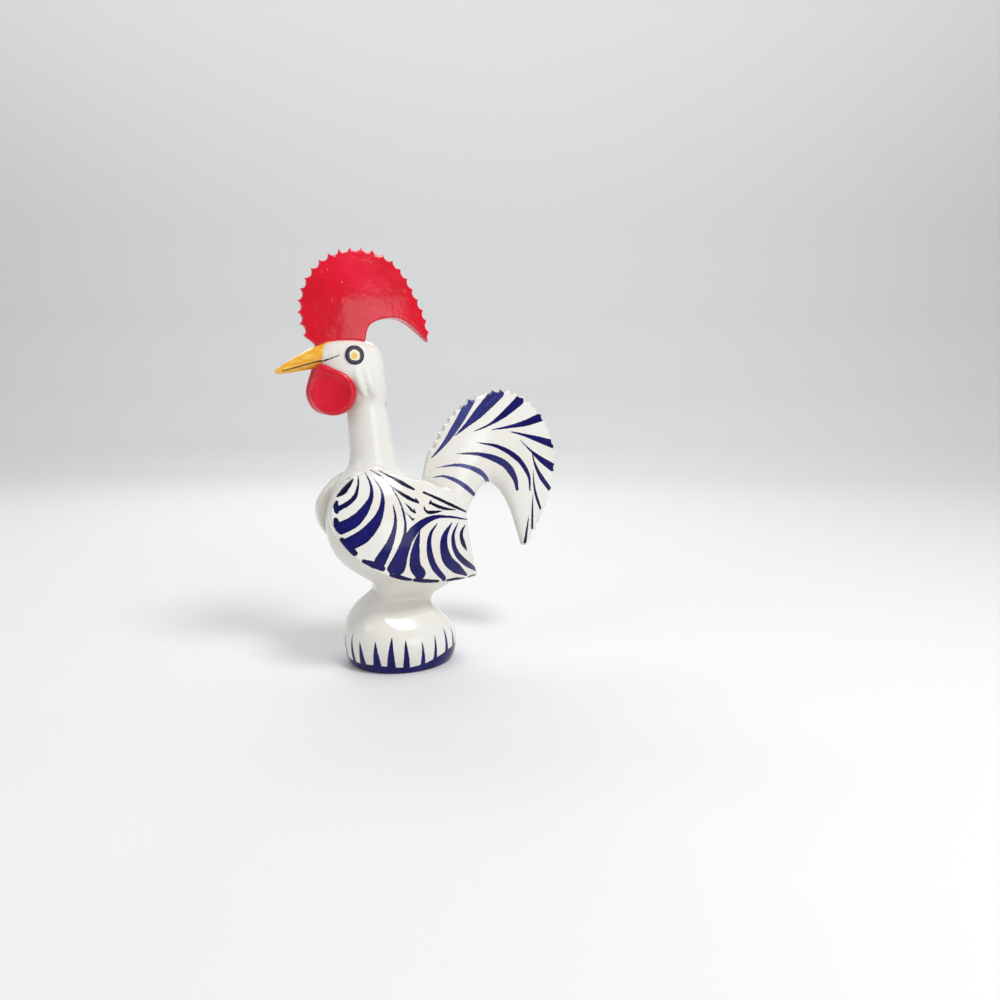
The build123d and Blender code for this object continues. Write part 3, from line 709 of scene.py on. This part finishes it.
# Painted reflection: broad pinkish patches stand in for soft boxes mirrored in the glossy red.
red_reflection_patches = ranged(red_tree, noise(red_tree, red_place, scale=21), 0.46, 0.70)
red_colour = mixed(red_tree, red_reflection_patches, red_colour, RED_PAINTED_REFLECTION)
red_edge = ranged(red_tree, value_of(red_tree, "hollow"), -0.05, -0.5)
red_colour = mixed(red_tree, red_edge, red_colour, RED_THIN)
red_swell = counted(red_tree, "MULTIPLY_ADD", noise(red_tree, red_place, scale=28, detail=1.0), 1.6,
                    noise(red_tree, red_place, scale=75))
red_pits = ranged(red_tree, noise(red_tree, red_place, scale=260, detail=1.0), 0.70, 0.80)
red_rise = counted(red_tree, "MULTIPLY_ADD", red_pits, -0.25, red_swell)
red_bump = wire(red_tree, "ShaderNodeBump", None, Strength=0.9, Distance=0.0011, Height=red_rise)
red_tree.links.new(red_colour, red_shader.inputs["Base Color"])
red_tree.links.new(counted(red_tree, "MULTIPLY_ADD", red_flow, 0.10, 0.15), red_shader.inputs["Roughness"])
red_tree.links.new(red_bump.outputs["Normal"], red_shader.inputs["Normal"])
comb = own_skin("comb", voxel=0.0005, rounds=16, softness_of=crisp_rim, hosts=("head", "beak"),
                material=red_glaze)

# Wattles: a pair of thick clay drops pressed on under the beak, dished on the face with a round lip, and
# glazed the same red as the comb.
for name in ("left_wattle", "right_wattle"):
    wattle = own_skin(name, voxel=0.0006, rounds=30, softness_of=even, hosts=("head", "neck", "beak"),
                      material=red_glaze)

# Beak: a blunt cone of clay with the mouth scored along each side, under an orange-yellow glaze that the
# brush left in streaks; the scored line is filled with dark brown.
YELLOW = (0.830, 0.370, 0.0130, 1)
YELLOW_PALE = (0.900, 0.560, 0.090, 1)
MOUTH_BROWN = (0.045, 0.020, 0.006, 1)
BEAK_DROOP = math.radians(-21)
BEAK_LINE = (((-50, 222.6), (-57, 220.6), (-68, 217.4), (-80, 214.0)), (0.9, 0.9, 0.9, 0.6), 1.0)
yellow_glaze, yellow_tree, yellow_shader, yellow_place = new_material("yellow_glaze", coat=0.5)
streak_place = wire(yellow_tree, "ShaderNodeMapping", {"vector_type": "POINT"}, Vector=yellow_place,
                    Rotation=(0, BEAK_DROOP, 0), Scale=(0.16, 1.0, 1.0)).outputs[0]
streaks = ranged(yellow_tree, noise(yellow_tree, streak_place, scale=420, detail=3.0), 0.35, 0.75)
yellow_colour = mixed(yellow_tree, streaks, YELLOW, YELLOW_PALE)
mouth = called(yellow_tree, brushwork, Place=yellow_place, Edge=value_of(yellow_tree, "edge"),
               Along=value_of(yellow_tree, "along"), Across=value_of(yellow_tree, "across"),
               Tone=value_of(yellow_tree, "tone"))
yellow_colour = mixed(yellow_tree, mouth.outputs["Cover"], yellow_colour, MOUTH_BROWN)
yellow_bump = wire(yellow_tree, "ShaderNodeBump", None, Strength=0.3, Distance=0.0004, Height=streaks)
yellow_tree.links.new(yellow_colour, yellow_shader.inputs["Base Color"])
yellow_dull = counted(yellow_tree, "MULTIPLY_ADD", streaks, 0.10, 0.16)
yellow_tree.links.new(yellow_dull, yellow_shader.inputs["Roughness"])
yellow_tree.links.new(yellow_bump.outputs["Normal"], yellow_shader.inputs["Normal"])
beak = own_skin("beak", voxel=0.00045, rounds=5, softness_of=even, hosts=("head",), material=yellow_glaze)
for side in (-1, 1):
    brush((beak,), side, (BEAK_LINE,))

# Eyes: flat buttons of clay pressed on the brow and painted on the face: a broad navy ring, a cream disc
# inside it and a dab of orange-yellow near the middle. The wall of the button stays white.
EYE_CREAM = (0.800, 0.750, 0.600, 1)
EYE_DAB = (0.780, 0.500, 0.060, 1)
EYE_NAVY = (0.0080, 0.0070, 0.030, 1)
EYE_SHAKE = 0.0014
DAB_SHIFT_X = 0.0006
DAB_SHIFT_Z = 0.0004
DAB_EDGE = (0.0018, 0.0026)
DISC_EDGE = (0.0035, 0.0039)
DOME_EDGE = (0.0046, 0.0030)
WALL_FACING = (0.34, 0.20)
eye_glaze, eye_tree, eye_shader, eye_place = new_material("eye_glaze", coat=0.2, shine=0.3)
eye_low, eye_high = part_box("left_eye")
eye_parts = wire(eye_tree, "ShaderNodeSeparateXYZ", None, Vector=eye_place)
eye_x = counted(eye_tree, "SUBTRACT", eye_parts.outputs["X"], (eye_low[0] + eye_high[0]) / 2)
eye_z = counted(eye_tree, "SUBTRACT", eye_parts.outputs["Z"], (eye_low[2] + eye_high[2]) / 2)
eye_shake = counted(eye_tree, "MULTIPLY_ADD", noise(eye_tree, eye_place, scale=300, detail=1.0),
                    EYE_SHAKE, -EYE_SHAKE / 2)


def shaky_distance(x, z):
    """How far a place on the eye lies from a middle, as an unsteady hand would see it."""
    square = counted(eye_tree, "MULTIPLY_ADD", x, x, counted(eye_tree, "MULTIPLY", z, z))
    return counted(eye_tree, "ADD", counted(eye_tree, "SQRT", square), eye_shake)


eye_far = shaky_distance(eye_x, eye_z)
dab_far = shaky_distance(counted(eye_tree, "ADD", eye_x, DAB_SHIFT_X),
                         counted(eye_tree, "ADD", eye_z, DAB_SHIFT_Z))
eye_colour = mixed(eye_tree, ranged(eye_tree, dab_far, *DAB_EDGE), EYE_DAB, EYE_CREAM)
eye_colour = mixed(eye_tree, ranged(eye_tree, eye_far, *DISC_EDGE), eye_colour, EYE_NAVY)
eye_turn = wire(eye_tree, "ShaderNodeSeparateXYZ", None,
                Vector=wire(eye_tree, "ShaderNodeNewGeometry").outputs["Normal"]).outputs["Y"]
eye_wall = ranged(eye_tree, counted(eye_tree, "ABSOLUTE", eye_turn), *WALL_FACING)
eye_colour = mixed(eye_tree, eye_wall, eye_colour, WHITE_WARM)
eye_bump = wire(eye_tree, "ShaderNodeBump", None, Strength=0.3, Distance=0.0004,
                Height=ranged(eye_tree, eye_far, *DOME_EDGE))
eye_tree.links.new(eye_colour, eye_shader.inputs["Base Color"])
eye_shader.inputs["Roughness"].default_value = 0.16
eye_tree.links.new(eye_bump.outputs["Normal"], eye_shader.inputs["Normal"])
for name in ("left_eye", "right_eye"):
    eye = own_skin(name, voxel=0.00045, rounds=5, softness_of=even, hosts=("head",), material=eye_glaze)

# Floor: a plain pale studio sweep, square to the camera, that curves up behind the bird; it isn't part of
# the object.
CAMERA_TURN = math.radians(-25.6)
SWEEP_HALF_WIDTH = 4.0
SWEEP_PROFILE = ((-2.0, 0.0), (1.2, 0.0), (1.5, 0.05), (1.72, 0.19), (1.86, 0.42), (1.9, 0.7), (1.9, 3.0))
PAPER_WHITE = (0.78, 0.78, 0.77, 1)
floor_mesh = bpy.data.meshes.new("floor")
sweep = bmesh.new()
rows = []
for depth, level in SWEEP_PROFILE:
    rows.append([sweep.verts.new((side * SWEEP_HALF_WIDTH, depth, level)) for side in (-1, 1)])
for first, second in zip(rows, rows[1:]):
    sweep.faces.new((first[0], first[1], second[1], second[0])).smooth = True
sweep.to_mesh(floor_mesh)
sweep.free()
floor = bpy.data.objects.new("floor", floor_mesh)
floor.rotation_euler = (0, 0, CAMERA_TURN)
scene.collection.objects.link(floor)
paper, _, paper_shader, _ = new_material("studio_paper", coat=0.0)
paper_shader.inputs["Base Color"].default_value = PAPER_WHITE
paper_shader.inputs["Roughness"].default_value = 0.85
floor_mesh.materials.append(paper)


# Light: four soft boxes round the bird, a long one over the paper behind it, and a grey surround. The key
# lamp hangs high on the right and the others fill in, so that the glaze shows a few soft highlights.
MIDDLE = (0.02, 0.0, 0.15)
SURROUND = (0.92, 0.95, 1.0, 1)
SURROUND_STRENGTH = 0.4


def soft_box(name, place, target, size, power):
    """A flat lamp turned to a target."""
    lamp = bpy.data.lights.new(name, "AREA")
    lamp.shape = "RECTANGLE"
    lamp.size, lamp.size_y = size
    lamp.energy = power
    holder = bpy.data.objects.new(name, lamp)
    holder.location = place
    holder.rotation_euler = (Vector(target) - Vector(place)).to_track_quat("-Z", "Y").to_euler()
    scene.collection.objects.link(holder)


soft_box("key", (0.29, -0.72, 1.26), MIDDLE, (0.38, 0.38), 10.5)
soft_box("front", (0.30, -1.05, 0.34), (0.0, 0.0, 0.26), (0.55, 0.45), 2.0)
soft_box("side", (-1.15, -0.15, 0.55), MIDDLE, (0.6, 0.6), 1.9)
soft_box("back", (0.2, 0.95, 0.9), MIDDLE, (0.9, 0.4), 4.0)
soft_box("backdrop", (0.45, 0.95, 1.9), (0.73, 1.52, 0.15), (4.5, 0.5), 18.0)
world = bpy.data.worlds.new("studio")
world.use_nodes = True
world.node_tree.nodes["Background"].inputs["Color"].default_value = SURROUND
world.node_tree.nodes["Background"].inputs["Strength"].default_value = SURROUND_STRENGTH
scene.world = world
scene.view_settings.view_transform = "Standard"

# Camera: a short lens as near as the photograph was taken, at the height of the bird's neck and turned
# towards its left side.
camera = bpy.data.objects.new("camera", bpy.data.cameras.new("camera"))
camera.data.lens = 27.25
camera.data.sensor_width = 36.0
camera.location = (-0.1711, -0.5316, 0.201)
camera.rotation_euler = (math.radians(81.77), 0, CAMERA_TURN)
scene.collection.objects.link(camera)
scene.camera = camera
